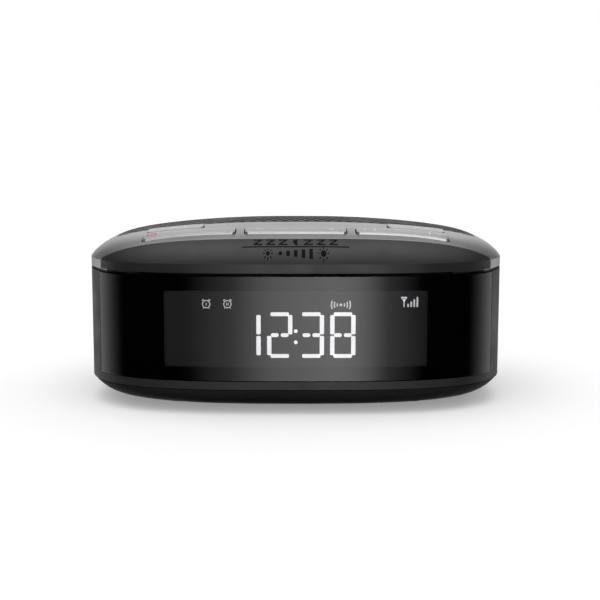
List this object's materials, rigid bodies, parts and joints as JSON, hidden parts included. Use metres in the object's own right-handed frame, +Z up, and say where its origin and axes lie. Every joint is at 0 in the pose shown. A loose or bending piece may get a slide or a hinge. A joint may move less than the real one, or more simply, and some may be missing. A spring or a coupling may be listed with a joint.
{
  "type": "tabletop clock radio",
  "caption": "Tabletop clock radio with a crowned top, snooze bar, speaker grille, row of keys and a wrap-round front window over a clock display.",
  "frame": {"origin": "middle of the outline, on the surface the radio stands on", "axes": "+X to the right seen from the front, +Z up, front face towards -Y"},
  "size_m": [0.15, 0.1, 0.0645],
  "materials": {
    "silver_deck": "satin",
    "key_silver": "satin",
    "snooze_dark": "satin",
    "window_smoke": "gloss",
    "case_grey": "satin",
    "base_dark": "matt",
    "grille_metal": "satin",
    "inner_plastic": "matt",
    "rubber": "matt",
    "steel": "satin",
    "spring_steel": "satin",
    "circuit_board": "satin",
    "silicone": "matt",
    "paper": "matt",
    "magnet": "matt",
    "copper": "satin",
    "cloth": "matt",
    "foam": "matt",
    "shield_tin": "satin",
    "chip_black": "matt",
    "capacitor_sleeve": "satin",
    "socket_black": "matt",
    "socket_white": "matt",
    "ribbon": "satin",
    "display_glass": "gloss",
    "light_guide": "satin",
    "battery": "satin"
  },
  "bodies": {
    "radio_body": {"top_deck": "silver_deck", "speaker_grille": "grille_metal", "snooze_springs": "spring_steel", "snooze_board": "circuit_board", "snooze_pad": "silicone", "key_board": "circuit_board", "key_mat": "silicone", "key_board_screws": "steel", "speaker_basket": "steel", "speaker_magnet": "magnet", "cone_surround": "rubber", "speaker_spider": "cloth", "speaker_gasket": "foam", "speaker_screws": "steel", "chassis": "inner_plastic", "deck_screws": "steel", "cabinet": "case_grey", "front_window": "window_smoke", "base_cover": "base_dark", "rubber_feet": "rubber", "base_screws": "steel", "backup_batteries": "battery", "battery_contacts": "spring_steel", "battery_springs": "spring_steel", "main_board": "circuit_board", "board_screws": "steel", "tuner_shield": "shield_tin", "board_chips": "chip_black", "capacitors": "capacitor_sleeve", "dc_socket": "socket_black", "antenna_grommet": "rubber", "display_frame": "inner_plastic", "display_glass": "display_glass", "light_guide": "light_guide", "display_board": "circuit_board", "display_screws": "steel", "ribbon_sockets": "socket_white", "display_ribbon": "ribbon", "key_ribbon": "ribbon"},
    "snooze": {"snooze_bar": "snooze_dark"},
    "power_rocker": {"power_key": "key_silver"},
    "volume_rocker": {"volume_key": "key_silver"},
    "tuning_rocker": {"tuning_key": "key_silver"},
    "first_alarm": {"first_alarm_key": "key_silver"},
    "second_alarm": {"second_alarm_key": "key_silver"},
    "door": {"battery_door": "base_dark"},
    "moving_coil": {"speaker_cone": "paper", "voice_coil": "copper", "dust_cap": "paper"}
  },
  "joints": [
    {"name": "snooze_press", "type": "slide", "parent": "radio_body", "child": "snooze", "axis": [0, 0, -1], "range_m": [0, 0.0006], "stiffness_N_per_m": 3500, "deforming": ["snooze_springs", "snooze_pad"]},
    {"name": "power_rock", "type": "hinge", "parent": "radio_body", "child": "power_rocker", "pos_m": [-0.0372, -0.03215, 0.05155], "axis": [0, 1, 0], "range_deg": [-1.4, 1.4], "stiffness_Nm_per_rad": 1.15, "deforming": ["key_mat"]},
    {"name": "volume_rock", "type": "hinge", "parent": "radio_body", "child": "volume_rocker", "pos_m": [0, -0.03215, 0.05155], "axis": [0, 1, 0], "range_deg": [-1.4, 1.4], "stiffness_Nm_per_rad": 1.15, "deforming": ["key_mat"]},
    {"name": "tuning_rock", "type": "hinge", "parent": "radio_body", "child": "tuning_rocker", "pos_m": [0.0372, -0.03215, 0.05155], "axis": [0, 1, 0], "range_deg": [-1.4, 1.4], "stiffness_Nm_per_rad": 1.15, "deforming": ["key_mat"]},
    {"name": "first_alarm_press", "type": "slide", "parent": "radio_body", "child": "first_alarm", "axis": [0, 0, -1], "range_m": [0, 0.0005], "stiffness_N_per_m": 4000, "deforming": ["key_mat"]},
    {"name": "second_alarm_press", "type": "slide", "parent": "radio_body", "child": "second_alarm", "axis": [0, 0, -1], "range_m": [0, 0.0005], "stiffness_N_per_m": 4000, "deforming": ["key_mat"]},
    {"name": "battery_door_hinge", "type": "hinge", "parent": "radio_body", "child": "door", "pos_m": [0, 0.0083, 0.002], "axis": [1, 0, 0], "range_deg": [0, 85]},
    {"name": "cone_stroke", "type": "slide", "parent": "radio_body", "child": "moving_coil", "axis": [0, 0, 1], "range_m": [-0.0008, 0.0008], "stiffness_N_per_m": 3200, "deforming": ["cone_surround", "speaker_spider"]}
  ]
}
